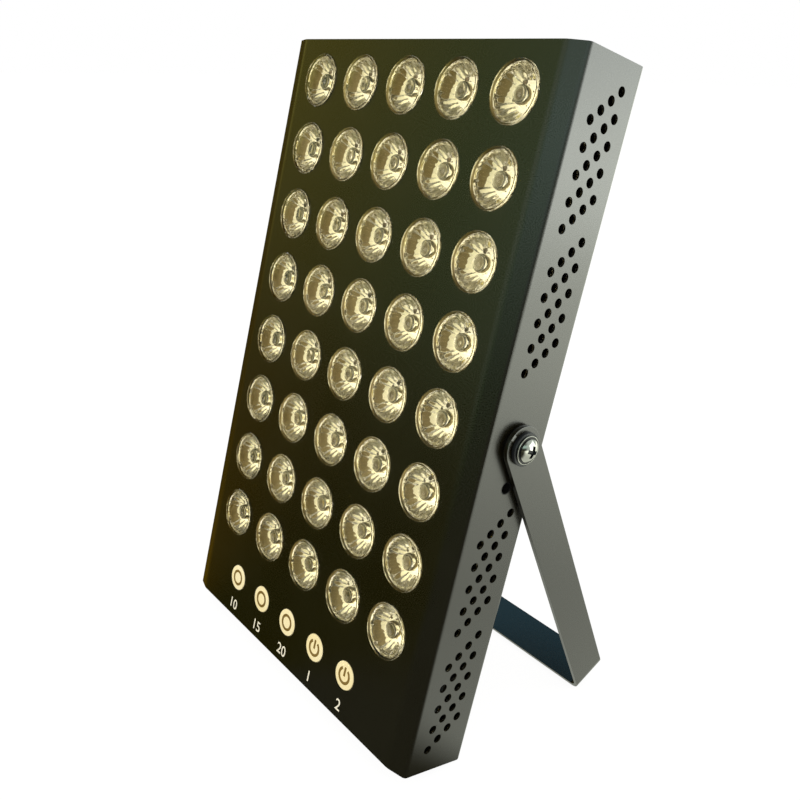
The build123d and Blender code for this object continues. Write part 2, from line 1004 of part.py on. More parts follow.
foot_y, foot_z = strap_corner(-1)
to_foot_y = foot_y - bend_y
to_foot_z = foot_z - bend_z
lean = atan2(to_foot_z, to_foot_y) + asin(rear_bend_radius / hypot(to_foot_y, to_foot_z))


def depth_in_world(y, z):
    """How far back a point of the upright panel lies once the panel leans."""
    return (y - bend_y) * cos(lean) + (z - bend_z) * sin(lean)


front_limit = depth_in_world(0, 0)
back_limit = max(depth_in_world(*strap_corner(1)), depth_in_world(panel_depth, panel_height))
rest_place = (
    Pos(0, -(front_limit + back_limit) / 2, rear_bend_radius)
    * Rot(X=-degrees(lean))
    * Pos(0, -bend_y, -bend_z)
)
stand_place = rest_place * Pos(0, side_mid_depth, pivot_rise) * Rot(X=stand_rest_angle)

pieces = {
    "front_shell": make_front_shell(),
    "rear_cover": make_rear_cover(),
    "rear_cover_screws": [make_cover_screw(x, z) for x, z in cover_screw_places()],
    "red_emitters": [make_emitter(x, z) for x, z in emitter_places(0)],
    "infrared_emitters": [make_emitter(x, z) for x, z in emitter_places(1)],
    "led_board": make_led_board(),
    "thermal_pad": make_thermal_pad(),
    "heat_sink": make_heat_sink(),
    "board_standoffs": [make_standoff(x, z) for x, z in standoff_places()],
    "heat_sink_screws": [make_heat_sink_screw(x, z) for x, z in standoff_places()],
    "button_carrier": make_button_carrier(),
    "control_board": make_control_board(),
    "tact_switches": [make_tact_switch(x) for x in button_xs],
    "control_board_screws": [make_board_screw(x, z) for x, z in carrier_boss_places()],
    "power_inlet": make_power_inlet(),
    "inlet_pins": [make_inlet_pin(x, z) for x, z in pin_places()],
    "inlet_screws": [make_inlet_screw(x, z) for x, z in inlet_screw_places()],
    "led_driver": make_led_driver(),
    "driver_screws": [make_cover_screw(x, z) for x, z in driver_screw_places()],
    "pivot_inserts": both_sides(make_threaded_insert(pivot_rise)),
    "accessory_inserts": both_sides(make_threaded_insert(pivot_rise - accessory_hole_drop)),
    "pivot_spacers": both_sides(
        ring_x(
            spacer_radius,
            pivot_screw_radius + thread_clearance,
            half_width,
            strap_inside,
            pivot_rise,
        )
    ),
    "pivot_lock_washers": both_sides(
        ring_x(
            lock_washer_radius,
            pivot_screw_radius + thread_clearance,
            strap_outside,
            lock_washer_outside,
            pivot_rise,
        )
    ),
    "pivot_flat_washers": both_sides(
        ring_x(
            flat_washer_radius,
            pivot_screw_radius + thread_clearance,
            lock_washer_outside,
            head_seat,
            pivot_rise,
        )
    ),
    "pivot_screws": both_sides(make_pivot_screw()),
}
for row, z in enumerate(row_zs, start=1):
    pieces[f"lens_row_{row}"] = [make_lens(x, z) for x in column_xs]
for level, centre_z in fan_zs.items():
    pieces[f"{level}_fan_frame"] = make_fan_frame(centre_z)
    pieces[f"{level}_fan_rotor"] = make_fan_rotor(centre_z)
    pieces[f"{level}_fan_screws"] = [
        make_fan_screw(x, z) for x, z in fan_screw_places(centre_z)
    ]
for name, x in zip(button_names, button_xs):
    pieces[name] = make_button(x)

os.makedirs("parts", exist_ok=True)
for name, piece in pieces.items():
    solids = piece if isinstance(piece, list) else [piece]
    placed = [rest_place * solid for solid in solids]
    export_step(Compound(placed) if len(placed) > 1 else placed[0], f"parts/{name}.step")
export_step(stand_place * make_stand(), "parts/stand_strap.step")


def report(label, y, z, x=0):
    """Print where a point of the upright panel lies at rest."""
    point = (rest_place * Pos(x, y, z)).position
    print(f"{label}: {point.X:.3f} {point.Y:.3f} {point.Z:.3f}")


print(f"lean of the panel: {degrees(lean):.3f} degrees")
report("pivot axis", side_mid_depth, pivot_rise)
report("accessory thread", side_mid_depth, pivot_rise - accessory_hole_drop, wall_inside)
report("inlet face", inlet_face_y, inlet_rise, inlet_centre_x)
report("middle of the back", panel_depth, pivot_rise)
report("middle of the bottom", shell_depth / 2, 0)
for level, centre_z in fan_zs.items():
    report(f"{level} fan", hub_top_y, centre_z)
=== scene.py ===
# %% [markdown]
# # A light therapy panel on a strap stand
#
# The real object is a folded steel box, painted satin black, with forty clear lenses in its face,
# five push buttons under them, rows of vents in its side walls, and one flat strap bent to a U
# that it leans on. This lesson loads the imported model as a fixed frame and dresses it: first the
# camera, floor and light, then each finish, then the pieces that need finer shapes.

# %% Load the frame
import json
from math import asin, atan2, cos, degrees, pi, radians, sin, tan

import bmesh
import bpy
from mathutils import Euler, Matrix, Vector


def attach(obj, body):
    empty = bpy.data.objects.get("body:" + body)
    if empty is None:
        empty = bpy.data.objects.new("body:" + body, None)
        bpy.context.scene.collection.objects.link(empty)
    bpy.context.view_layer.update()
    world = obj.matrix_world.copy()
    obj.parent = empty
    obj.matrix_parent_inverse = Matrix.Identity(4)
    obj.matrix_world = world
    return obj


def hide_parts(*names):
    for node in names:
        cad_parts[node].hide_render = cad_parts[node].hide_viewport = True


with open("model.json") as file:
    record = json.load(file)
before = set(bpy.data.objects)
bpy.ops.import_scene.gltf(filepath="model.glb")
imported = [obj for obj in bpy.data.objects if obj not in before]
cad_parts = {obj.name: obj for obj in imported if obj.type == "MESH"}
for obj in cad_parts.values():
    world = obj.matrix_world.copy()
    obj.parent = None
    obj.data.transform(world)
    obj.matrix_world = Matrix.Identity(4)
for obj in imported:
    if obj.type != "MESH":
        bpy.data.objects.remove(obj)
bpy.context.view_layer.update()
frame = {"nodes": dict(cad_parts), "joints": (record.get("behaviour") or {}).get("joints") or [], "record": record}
nodes = frame["nodes"]
joints = {joint["name"]: joint for joint in frame["joints"]}
print("nodes in the frame:", len(nodes))

# %% [markdown]
# ## Where the panel stands
#
# The panel leans back, but it is far easier to draw upright. So every new piece is drawn in
# millimetres on an upright panel (X to the right, Y from the lit face to the back, Z up), and one
# matrix leans it onto the stand. The lean comes from the frame itself: the buttons slide straight
# into the face, so their joint's axis gives the angle, and the stand's joint gives the pivot.

# %% The matrix from the upright panel to the frame
MM = 0.001
panel_width = 190.0
panel_height = 306.5
shell_depth = 37.0
sheet_thickness = 1.2
slope_width = 9.2
slope_drop = 2.8
half_width = panel_width / 2
pivot_depth = (slope_drop + shell_depth) / 2
pivot_rise = panel_height / 2

press_axis = Vector(joints["timer_button_10_press"]["axis"])
lean = atan2(-press_axis.z, press_axis.y)
pivot_place = Vector(joints["stand_pivot"]["pos_m"])
TURN = Matrix.Rotation(-lean, 4, "X")
LEAN = (
    Matrix.Translation(pivot_place)
    @ TURN
    @ Matrix.Scale(MM, 4)
    @ Matrix.Translation((0, -pivot_depth, -pivot_rise))
)
UPRIGHT = LEAN.inverted()
print(f"the panel leans by {degrees(lean):.2f} degrees")

# %% [markdown]
# ## The camera
#
# The photograph was taken from close by and to the right, so the far edge of the panel is much
# smaller than the near one. The camera's place and turn were solved from the lens grid and the
# corners of the body, on the upright panel, and they lean with it. A 38 mm lens on a 36 mm sensor
# gives the same field of view.

# %% Camera
camera_place = Vector((307.17, -245.63, 234.67))
camera_turn = Euler((radians(77.323), radians(-12.48), radians(49.997)))
camera_data = bpy.data.cameras.new("camera")
camera_data.sensor_width = 36.0
camera_data.lens = 38.16
camera_data.clip_start = 0.01
camera = bpy.data.objects.new("camera", camera_data)
camera.location = LEAN @ camera_place
camera.rotation_euler = (TURN @ camera_turn.to_matrix().to_4x4()).to_euler()
bpy.context.scene.collection.objects.link(camera)
bpy.context.scene.camera = camera
bpy.context.scene.view_settings.view_transform = "Standard"
print("camera at", [round(value, 4) for value in camera.location])

# %% [markdown]
# ## Floor and light
#
# The photograph is white all round, yet the face of the panel is nearly black: the room in front
# of it is dark, and a bright window stands behind it on the right. Shaders give the same by asking
# what kind of ray has reached them. The camera sees a white floor and a white world. Gloss sees a
# room that is bright at the back and on the right, and dim in front: olive on the left and green
# on the right. What the lenses bend into view is a plainer room, cream behind and brown in front.
# One softbox stands at the back on the right, where the window was. Another fills the front, and
# gloss doesn't see that one.


# %% Node helpers
def new_node(tree, kind, **settings):
    """Add a shader node and set its plain properties by name."""
    node = tree.nodes.new(f"ShaderNode{kind}")
    for name, value in settings.items():
        setattr(node, name, value)
    return node


def set_inputs(node, **values):
    """Set unlinked sockets, with spaces in a socket's name written as underscores."""
    for name, value in values.items():
        node.inputs[name.replace("_", " ")].default_value = value
    return node


def feed(tree, socket, value):
    """Link a socket, or set it where the value is plain."""
    if isinstance(value, bpy.types.NodeSocket):
        tree.links.new(value, socket)
    else:
        socket.default_value = value


def maths(tree, operation, first, second):
    """A Math node whose inputs are sockets or plain numbers."""
    node = new_node(tree, "Math", operation=operation)
    feed(tree, node.inputs[0], first)
    feed(tree, node.inputs[1], second)
    return node.outputs[0]


# A Mix node has sockets for every kind of data, and these are the ones for colours
MIX_FACTOR, MIX_FIRST, MIX_SECOND, MIX_RESULT = 0, 6, 7, 2


def blend_colours(tree, factor, first, second):
    """A colour that runs from first to second as the factor goes from zero to one."""
    node = new_node(tree, "Mix", data_type="RGBA")
    for index, value in ((MIX_FACTOR, factor), (MIX_FIRST, first), (MIX_SECOND, second)):
        feed(tree, node.inputs[index], value)
    return node.outputs[MIX_RESULT]


def mix_shaders(tree, factor, first, second):
    """A shader that runs from first to second as the factor goes from zero to one."""
    node = new_node(tree, "MixShader")
    for index, value in enumerate((factor, first, second)):
        tree.links.new(value, node.inputs[index])
    return node.outputs[0]


def map_range(tree, value, span, to_span, smooth=False):
    """A value moved from one span to another, with soft ends if asked."""
    kind = "SMOOTHSTEP" if smooth else "LINEAR"
    node = new_node(tree, "MapRange", interpolation_type=kind)
    tree.links.new(value, node.inputs["Value"])
    set_inputs(node, From_Min=span[0], From_Max=span[1], To_Min=to_span[0], To_Max=to_span[1])
    return node.outputs[0]


def fade(tree, value, span, to_span=(0.0, 1.0)):
    """A soft step from zero to one, or between two other numbers, as the value crosses a span."""
    return map_range(tree, value, span, to_span, smooth=True)


def band(tree, value, rise, fall):
    """A soft band that is one between a rising and a falling span, and zero outside them."""
    return maths(tree, "MULTIPLY", fade(tree, value, rise), fade(tree, value, fall, (1.0, 0.0)))


def along(tree, vector, direction):
    """How far a vector points in one direction."""
    dot = new_node(tree, "VectorMath", operation="DOT_PRODUCT")
    tree.links.new(vector, dot.inputs[0])
    dot.inputs[1].default_value = direction
    return dot.outputs["Value"]


# %% Directions and colours of the room
upwards = Vector((0.0, 0.0, 1.0))
away = Vector((-0.6, -0.8, 0.0))
to_dark_side = Vector((-0.45, -0.89, 0.0))
front_right = Vector((0.69, -0.72, 0.0))
up_left = Vector((-0.54, 0.06, 0.84))
back_right = Vector((0.77, 0.64, 0.0))
window_room = (0.90, 1.0, 0.93, 1)
bench = (0.96, 1.0, 0.86, 1)
olive_dark = (0.08, 0.05, 0.0, 1)
olive_low = (0.19, 0.11, 0.0, 1)
olive_high = (0.38, 0.29, 0.02, 1)
olive_line = (0.80, 0.73, 0.16, 1)
green_low = (0.05, 0.045, 0.0, 1)
green_high = (0.14, 0.33, 0.13, 1)
green_line = (0.62, 0.74, 0.52, 1)
right_dark = (0.06, 0.06, 0.04, 1)
right_high = (0.80, 1.10, 0.98, 1)
ceiling = (0.14, 0.145, 0.12, 1)
blue_dusk = (0.17, 0.44, 0.60, 1)
cream_room = (1.0, 0.95, 0.70, 1)
brown_room = (0.34, 0.29, 0.14, 1)

# %% Where one colour of the room gives way to the next
# Upwards
low_level = -0.25
high_level = 0.35
right_lift = (0.15, 0.42)
to_ceiling = (0.42, 0.65)
# Towards the front right
dark_to_olive = (-0.7, -0.3)
olive_line_rise = (-0.65, -0.5)
olive_line_fall = (-0.42, -0.32)
olive_to_green = (-0.20, 0.0)
green_line_rise = (0.02, 0.2)
green_line_fall = (0.28, 0.5)
right_reach = (0.42, 0.55)
green_to_dark = (0.52, 0.72)
# Along a vector of their own
to_dusk = (0.93, 0.98)
cream_to_brown = (-0.5, 0.4)


def room_colour(tree, vector, bright, facing, span, drop=0.0):
    """Bright behind and on the right; in front olive on the left and green on the right."""
    level = along(tree, vector, upwards)
    across = along(tree, vector, front_right)
    height = fade(tree, level, (drop + low_level, drop + high_level))
    olive = blend_colours(tree, height, olive_low, olive_high)
    olive = blend_colours(tree, fade(tree, across, dark_to_olive), olive_dark, olive)
    line = band(tree, across, olive_line_rise, olive_line_fall)
    olive = blend_colours(tree, maths(tree, "MULTIPLY", line, height), olive, olive_line)
    green = blend_colours(tree, height, green_low, green_high)
    line = band(tree, across, green_line_rise, green_line_fall)
    green = blend_colours(tree, maths(tree, "MULTIPLY", line, height), green, green_line)
    green = blend_colours(tree, fade(tree, across, green_to_dark), green, right_dark)
    reached, lifted = fade(tree, across, right_reach), fade(tree, level, right_lift)
    green = blend_colours(tree, maths(tree, "MULTIPLY", reached, lifted), green, right_high)
    dim = blend_colours(tree, fade(tree, across, olive_to_green), olive, green)
    dim = blend_colours(tree, fade(tree, level, to_ceiling), dim, ceiling)
    dim = blend_colours(tree, fade(tree, along(tree, vector, up_left), to_dusk), dim, blue_dusk)
    return blend_colours(tree, fade(tree, along(tree, vector, facing), span), bright, dim)


def room_in_lens(tree, vector):
    """What the lenses bend into view: cream behind and on the right, and brown in front."""
    share = fade(tree, along(tree, vector, to_dark_side), cream_to_brown)
    return blend_colours(tree, share, cream_room, brown_room)


def by_ray(tree, path, vector, for_gloss):
    """The room's colour for gloss or for a lens, and a share that is one for those rays alone."""
    glossy, through = path.outputs["Is Glossy Ray"], path.outputs["Is Transmission Ray"]
    colour = blend_colours(tree, through, for_gloss, room_in_lens(tree, vector))
    return colour, maths(tree, "MAXIMUM", glossy, through)


# %% Floor
floor_size = 12.0
floor_grey = (0.8, 0.8, 0.8, 1)
floor_white = 1.10
floor_white_share = 0.85
floor_drop = 0.25
bench_to_dim = (-0.3, 0.0)
# The floor is brighter towards the window, so the wall's reflection brightens upwards
window_reach = (0.2, 0.65)
window_gain = (1.0, 2.5)


def floor_material():
    material = bpy.data.materials.new("pale_floor")
    material.use_nodes = True
    tree = material.node_tree
    tree.nodes.clear()
    path = new_node(tree, "LightPath")
    matt = set_inputs(new_node(tree, "BsdfDiffuse"), Color=floor_grey)
    white = set_inputs(new_node(tree, "Emission"), Strength=floor_white)
    room = new_node(tree, "Emission")
    spot = new_node(tree, "TexCoord").outputs["Object"]
    to_unit = new_node(tree, "VectorMath", operation="NORMALIZE")
    tree.links.new(spot, to_unit.inputs[0])
    bearing = to_unit.outputs[0]
    seen = room_colour(tree, bearing, bench, to_dark_side, bench_to_dim, floor_drop)
    seen, by_gloss = by_ray(tree, path, bearing, seen)
    tree.links.new(seen, room.inputs["Color"])
    gain = map_range(tree, along(tree, spot, back_right), window_reach, window_gain)
    tree.links.new(gain, room.inputs["Strength"])
    by_camera = maths(tree, "MULTIPLY", path.outputs["Is Camera Ray"], floor_white_share)
    plain = mix_shaders(tree, by_camera, matt.outputs[0], white.outputs[0])
    out = new_node(tree, "OutputMaterial")
    tree.links.new(mix_shaders(tree, by_gloss, plain, room.outputs[0]), out.inputs["Surface"])
    return material


def make_floor():
    bm = bmesh.new()
    bmesh.ops.create_grid(bm, x_segments=1, y_segments=1, size=floor_size)
    mesh = bpy.data.meshes.new("floor")
    bm.to_mesh(mesh)
    bm.free()
    mesh.materials.append(floor_material())
    floor = bpy.data.objects.new("floor", mesh)
    bpy.context.scene.collection.objects.link(floor)


make_floor()

# %% World
world_light = 0.8
world_tint = (1.0, 0.97, 0.9, 1)
world_white = (1, 1, 1, 1)
window_to_dim = (-0.7, -0.3)


def make_world():
    world = bpy.data.worlds.new("studio")
    bpy.context.scene.world = world
    world.use_nodes = True
    tree = world.node_tree
    tree.nodes.clear()
    path = new_node(tree, "LightPath")
    light = new_node(tree, "Background")
    set_inputs(light, Color=world_tint, Strength=world_light)
    room = new_node(tree, "Background")
    sight = new_node(tree, "TexCoord").outputs["Generated"]
    seen = room_colour(tree, sight, window_room, away, window_to_dim)
    seen, by_gloss = by_ray(tree, path, sight, seen)
    tree.links.new(seen, room.inputs["Color"])
    white = set_inputs(new_node(tree, "Background"), Color=world_white)
    lit = mix_shaders(tree, by_gloss, light.outputs[0], room.outputs[0])
    by_camera = path.outputs["Is Camera Ray"]
    out = new_node(tree, "OutputWorld")
    tree.links.new(mix_shaders(tree, by_camera, lit, white.outputs[0]), out.inputs["Surface"])


make_world()


# %% Lamps
def softbox(name, place, aim, size, strength, colour):
    """A rectangular lamp that points at its aim and that the camera doesn't see."""
    data = bpy.data.lights.new(name, "AREA")
    data.shape = "RECTANGLE"
    data.size, data.size_y = size
    data.energy = strength
    data.color = colour
    lamp = bpy.data.objects.new(name, data)
    lamp.location = place
    lamp.rotation_euler = (Vector(aim) - Vector(place)).to_track_quat("-Z", "Y").to_euler()
    lamp.visible_camera = False
    bpy.context.scene.collection.objects.link(lamp)
    return lamp


softbox(
    "window_light",
    place=(0.95, 0.78, 0.3),
    aim=(0.1, 0, 0.17),
    size=(1.1, 0.9),
    strength=7.5,
    colour=(0.95, 1.0, 0.96),
)
fill = softbox(
    "front_fill",
    place=(-0.5, -1.6, 0.9),
    aim=(0, 0, 0.15),
    size=(1.2, 1.2),
    strength=12,
    colour=(1.0, 0.95, 0.85),
)
fill.visible_glossy = False
print("floor, world and lamps are in place")

# %% [markdown]
# ## Finishes
#
# A finish is a Principled shader whose colour, roughness and bump come from noise on the object's
# own coordinates, so it needs no image and looks the same from every side. One function lays the
# nodes, and each finish only chooses its colours, its roughness and the size of its grain.

# %% One function for the plain finishes
cloud_contrast = (0.35, 0.65)
wear_contrast = (0.3, 0.7)
cloud_share = 0.6
grain_share = 0.4
grain_detail = 2.0
grain_depth_share = 0.2


def noise(tree, scale, detail=3.0, stretch=(1, 1, 1)):
    """Noise on the object's own coordinates, drawn out along an axis if asked."""
    place = new_node(tree, "TexCoord")
    mapping = new_node(tree, "Mapping")
    mapping.inputs["Scale"].default_value = stretch
    tree.links.new(place.outputs["Object"], mapping.inputs["Vector"])
    texture = new_node(tree, "TexNoise")
    set_inputs(texture, Scale=scale, Detail=detail)
    tree.links.new(mapping.outputs[0], texture.inputs["Vector"])
    return texture.outputs["Fac"]


def add_bump(tree, shader, height, strength, distance):
    bump = set_inputs(new_node(tree, "Bump"), Strength=strength, Distance=distance)
    tree.links.new(height, bump.inputs["Height"])
    tree.links.new(bump.outputs[0], shader.inputs["Normal"])


def finish(name, colours, roughness, grain, cloud=18.0, stretch=(1, 1, 1), bump=0.2, **plain):
    """A finish: two tones mixed by a soft cloud, a roughness range, and a fine grain as bump."""
    material = bpy.data.materials.new(name)
    material.use_nodes = True
    tree = material.node_tree
    shader = tree.nodes["Principled BSDF"]
    set_inputs(shader, **plain)
    clouds = noise(tree, cloud)
    first, second = ((*colour, 1) for colour in colours)
    share = map_range(tree, clouds, cloud_contrast, (0.0, 1.0))
    tree.links.new(blend_colours(tree, share, first, second), shader.inputs["Base Color"])
    grains = noise(tree, 1 / (grain * MM), grain_detail, stretch)
    soft = maths(tree, "MULTIPLY", clouds, cloud_share)
    fine = maths(tree, "MULTIPLY", grains, grain_share)
    worn = maths(tree, "ADD", soft, fine)
    tree.links.new(map_range(tree, worn, wear_contrast, roughness), shader.inputs["Roughness"])
    add_bump(tree, shader, grains, bump, grain * MM * grain_depth_share)
    return material


# %% Finishes with a setting of their own
finishes = {
    "black_paint": finish(
        "satin_black_paint", ((0.0050, 0.0038, 0.0003), (0.0068, 0.0056, 0.0012)), (0.24, 0.32),
        grain=0.35, Specular_IOR_Level=1.0,
    ),
    # Blackened screw steel, also used to paint shade on the accessory inserts and on the flat washers' faces
    "black_screws": finish(
        "blackened_steel_and_painted_shade", ((0.02, 0.02, 0.022), (0.05, 0.05, 0.05)), (0.3, 0.5),
        grain=0.2, Metallic=0.8,
    ),
    "pivot_chrome": finish(
        "dark_chrome", ((0.36, 0.36, 0.33), (0.46, 0.46, 0.42)), (0.06, 0.16),
        grain=0.4, bump=0.05, Metallic=1.0,
    ),
    "heat_sink_aluminium": finish(
        "extruded_aluminium", ((0.62, 0.62, 0.64), (0.72, 0.72, 0.74)), (0.25, 0.45),
        grain=0.2, stretch=(1, 1, 0.05), Metallic=1.0,
    ),
    # Solder far darker than bright tin, so the joints also paint specks of shade seen through the lenses
    "solder": finish(
        "solder_darkened_for_painted_shade", ((0.16, 0.12, 0.07), (0.05, 0.04, 0.02)), (0.15, 0.4),
        grain=0.3, Metallic=0.6,
    ),
    "emitter_silicone": finish(
        "amber_emitter_silicone", ((0.12, 0.09, 0.02), (0.24, 0.19, 0.05)), (0.08, 0.16),
        grain=0.3, bump=0.05,
    ),
    "button_plastic": finish(
        "cream_button_plastic", ((0.95, 0.82, 0.46), (0.98, 0.88, 0.56)), (0.25, 0.4),
        grain=0.5, cloud=60.0, bump=0.1,
    ),
}

# %% Finishes that need only their name, two tones, roughness and grain
plain_finishes = {
    # Black rubber for the thick washers, also used to paint shade into the screws' cross recesses
    "washer_rubber": (
        "black_rubber_and_painted_recess_shade", ((0.004, 0.005, 0.007), (0.008, 0.009, 0.012)), (0.35, 0.55), 0.3,
    ),
    "emitter_package": (
        "cream_emitter_ceramic", ((0.56, 0.52, 0.24), (0.68, 0.62, 0.32)), (0.2, 0.35), 0.3,
    ),
    "board_aluminium": (
        "tan_solder_mask", ((0.18, 0.14, 0.06), (0.30, 0.25, 0.14)), (0.3, 0.5), 0.4,
    ),
    "pad_silicone": (
        "grey_thermal_silicone", ((0.3, 0.3, 0.32), (0.36, 0.36, 0.38)), (0.6, 0.8), 0.5,
    ),
    "circuit_board": (
        "green_solder_mask", ((0.01, 0.09, 0.03), (0.02, 0.14, 0.05)), (0.3, 0.45), 0.4,
    ),
    # White for the discs under the lenses, which paint the pool of light each lens gathers
    "reflector_ink": (
        "white_ink_and_painted_light_pool", ((0.95, 0.93, 0.74), (0.98, 0.96, 0.80)), (0.25, 0.4), 0.5,
    ),
    "inner_plastic": (
        "black_moulded_nylon", ((0.02, 0.02, 0.02), (0.04, 0.04, 0.04)), (0.45, 0.6), 0.4,
    ),
    "inlet_plastic": (
        "black_inlet_plastic", ((0.012, 0.012, 0.013), (0.02, 0.02, 0.02)), (0.35, 0.5), 0.4,
    ),
    "fan_plastic": (
        "black_fan_plastic", ((0.014, 0.014, 0.015), (0.022, 0.022, 0.024)), (0.35, 0.5), 0.4,
    ),
    "button_ink": (
        "brown_button_ink", ((0.17, 0.10, 0.015), (0.24, 0.15, 0.028)), (0.4, 0.55), 0.3,
    ),
    "number_ink": (
        "cream_number_ink", ((0.84, 0.80, 0.64), (0.90, 0.86, 0.72)), (0.45, 0.6), 0.3,
    ),
}
metal_finishes = {
    "steel_screws": (
        "zinc_plated_steel", ((0.55, 0.55, 0.56), (0.68, 0.68, 0.66)), (0.25, 0.45), 0.2,
    ),
    "standoff_brass": (
        "turned_brass", ((0.7, 0.5, 0.2), (0.78, 0.6, 0.28)), (0.2, 0.35), 0.2,
    ),
    "pin_brass": (
        "nickelled_brass_pin", ((0.7, 0.62, 0.42), (0.78, 0.7, 0.5)), (0.15, 0.3), 0.2,
    ),
    "driver_case": (
        "driver_case_aluminium", ((0.55, 0.55, 0.56), (0.65, 0.65, 0.66)), (0.3, 0.5), 0.3,
    ),
}
for slot, values in plain_finishes.items():
    finishes[slot] = finish(*values)
for slot, values in metal_finishes.items():
    finishes[slot] = finish(*values, Metallic=1.0)
print("plain finishes:", len(finishes))

# %% [markdown]
# ## Lens plastic
#
# The lenses are clear plastic with a warm tint, so the board and the emitters have to show through
# them. Light reaches those only through the lenses, and a path tracer finds that slowly. So shadow
# rays pass the plastic as if it were thin film, with the gain that a collimator gives to the spot
# under it, and every other ray is bent by it as it should be.

# %% Clear lens plastic
lens_tint = (1.0, 0.985, 0.92)
lens_gain = (1.74, 1.72, 1.58)
ripple_scale = 420.0
ripple_contrast = (0.3, 0.7)
ripple_roughness = (0.0, 0.008)
ripple_strength = 0.15
ripple_depth = 0.0003


def clear_plastic():
    material = bpy.data.materials.new("clear_lens_plastic")
    material.use_nodes = True
    tree = material.node_tree
    shader = tree.nodes["Principled BSDF"]
    set_inputs(shader, Base_Color=(*lens_tint, 1), IOR=1.49, Transmission_Weight=1.0)
    ripple = noise(tree, ripple_scale, detail=1.0)
    rough = map_range(tree, ripple, ripple_contrast, ripple_roughness)
    tree.links.new(rough, shader.inputs["Roughness"])
    add_bump(tree, shader, ripple, ripple_strength, ripple_depth)
    by_shadow = new_node(tree, "LightPath").outputs["Is Shadow Ray"]
    film = set_inputs(new_node(tree, "BsdfTransparent"), Color=(*lens_gain, 1))
    lens = mix_shaders(tree, by_shadow, shader.outputs[0], film.outputs[0])
    tree.links.new(lens, tree.nodes["Material Output"].inputs["Surface"])
    return material


finishes["lens_plastic"] = clear_plastic()

# %% Dress every node of the frame
slot_of = {part["node"]: part["material_slot"] for part in frame["record"]["subparts"]}
for name, node in nodes.items():
    node.data.materials.clear()
    node.data.materials.append(finishes[slot_of[name]])
# The accessory inserts take the near-black screw finish, which paints the shade they sit in beside the strap.
nodes["accessory_inserts"].data.materials[0] = finishes["black_screws"]
print("nodes dressed:", len(slot_of))

# %% [markdown]
# ## New pieces
#
# Small round pieces are turned from a half outline, as on a lathe: a few points become edges, and
# spin carries them round the axis. Other helpers cut one drawn mesh with another, copy a piece of
# the frame to soften its edges, and lean the finished mesh onto the stand.

# %% Helpers for drawing
seam = 0.0005
crease_angle = radians(35)
wide_face_area = 60.0
cap_corners = 12
edge_steps = 4


def close_seam(bm):
    bmesh.ops.remove_doubles(bm, verts=bm.verts, dist=seam)
    bmesh.ops.recalc_face_normals(bm, faces=bm.faces)


def turned(outline, segments=64):
    """A half outline of (radius, depth) points, spun round the Y axis."""
    bm = bmesh.new()
    points = [bm.verts.new((radius, depth, 0)) for radius, depth in outline]
    edges = [bm.edges.new(pair) for pair in zip(points, points[1:])]
    bmesh.ops.spin(
        bm,
        geom=points + edges,
        cent=(0, 0, 0),
        axis=(0, 1, 0),
        angle=2 * pi,
        steps=segments,
        use_merge=True,
        use_duplicate=False,
    )
    close_seam(bm)
    return bm


def rectangle(left, right, low, high):
    """The four corners of a rectangle, in order."""
    return [(left, low), (right, low), (right, high), (left, high)]


def quarter_round(outer, front, edge, drop):
    """Points of a half outline that turn from a flat front into the outer wall."""
    turns = [i / edge_steps * pi / 2 for i in range(1, edge_steps + 1)]
    return [(outer - edge + edge * sin(t), front + edge - drop * cos(t)) for t in turns]


def off_axis(point):
    """A point's distance from the axis that pieces are turned round."""
    return (point.x**2 + point.z**2) ** 0.5


def pulled_up(points, low, high):
    """A closed outline of (x, y) points pulled up from low to high."""
    bm = bmesh.new()
    bottom = bm.faces.new([bm.verts.new((x, y, low)) for x, y in points])
    made = bmesh.ops.extrude_face_region(bm, geom=[bottom])
    lifted = [item for item in made["geom"] if isinstance(item, bmesh.types.BMVert)]
    bmesh.ops.translate(bm, verts=lifted, vec=(0, 0, high - low))
    bmesh.ops.recalc_face_normals(bm, faces=bm.faces)
    return bm


def add_copy(bm, other, place):
    """Add a placed copy of another drawn mesh."""
    mesh = bpy.data.meshes.new("copy")
    other.to_mesh(mesh)
    mesh.transform(place)
    bm.from_mesh(mesh)
    bpy.data.meshes.remove(mesh)


def soften(bm):
    """Shade smooth between creases, and keep wide faces and the ends of round pieces flat."""
    for face in bm.faces:
        face.smooth = len(face.verts) < cap_corners and face.calc_area() < wide_face_area
    for edge in bm.edges:
        edge.smooth = len(edge.link_faces) == 2 and edge.calc_face_angle(pi) < crease_angle


def soft_edges(bm, width):
    """Bevel every edge where two faces meet at more than the crease angle."""
    pairs = [edge for edge in bm.edges if len(edge.link_faces) == 2]
    sharp = [edge for edge in pairs if edge.calc_face_angle(0) > crease_angle]
    bmesh.ops.bevel(
        bm,
        geom=sharp,
        offset=width,
        segments=2,
        profile=0.5,
        affect="EDGES",
        clamp_overlap=True,
        material=-1,
    )


# Places on the upright panel, and the turn that tips what was pulled up towards the viewer
TIPPED = Matrix.Rotation(pi / 2, 4, "X")


def on_face(x, z, y=0.0):
    return Matrix.Translation((x, y, z))


# %% Helpers for pieces
facet_weld = 0.002
facet_angle = radians(1)


def drawn_object(name, bm):
    mesh = bpy.data.meshes.new(name)
    bm.to_mesh(mesh)
    bm.free()
    thing = bpy.data.objects.new(name, mesh)
    bpy.context.scene.collection.objects.link(thing)
    return thing


